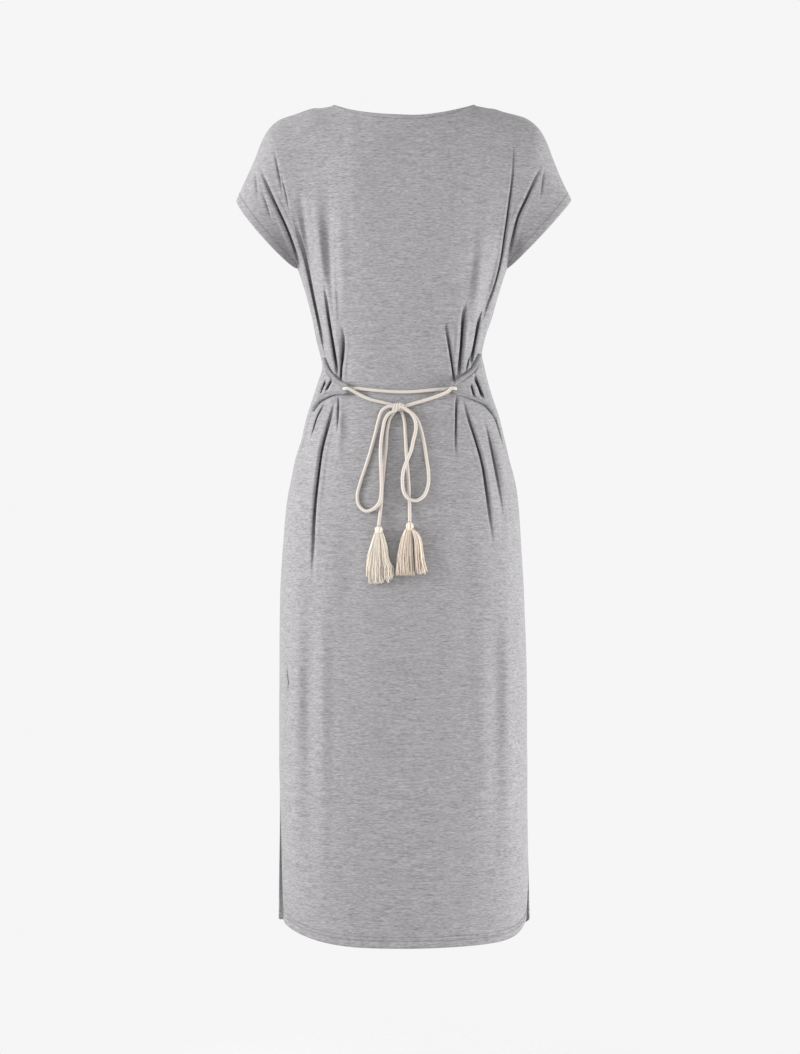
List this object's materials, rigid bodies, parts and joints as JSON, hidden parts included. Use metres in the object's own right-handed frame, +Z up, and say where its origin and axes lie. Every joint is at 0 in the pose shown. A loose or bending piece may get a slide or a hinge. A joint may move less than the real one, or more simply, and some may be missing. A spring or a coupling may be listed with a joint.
{
  "type": "t-shirt dress",
  "caption": "Midi t-shirt dress in marl jersey with cap sleeves and side slits, drawn in behind the waist by a tasselled cord, shown worn and hollow.",
  "frame": {"origin": "midway between the two neck points, at shoulder height, where the wearer's shoulders hold the dress", "axes": "+Z up along the worn dress, +X to the wearer's right, +Y towards the wearer's front; the tied back faces -Y"},
  "size_m": [0.478, 0.2348, 1.1826],
  "materials": {
    "jersey": "soft matt grey marl viscose jersey with fine crosswise slubs",
    "cord": "matt undyed cream cotton cord and yarn"
  },
  "bodies": {
    "root": {"back_bodice": "jersey", "back_skirt": "jersey", "front_bodice": "jersey", "front_skirt": "jersey", "loop_left": "jersey", "loop_right": "jersey", "cord_waist": "cord", "bow_knot": "cord", "bow_left": "cord", "bow_right": "cord", "tail_left": "cord", "tail_right": "cord", "tassel_left": "cord", "tassel_right": "cord"}
  },
  "joints": []
}
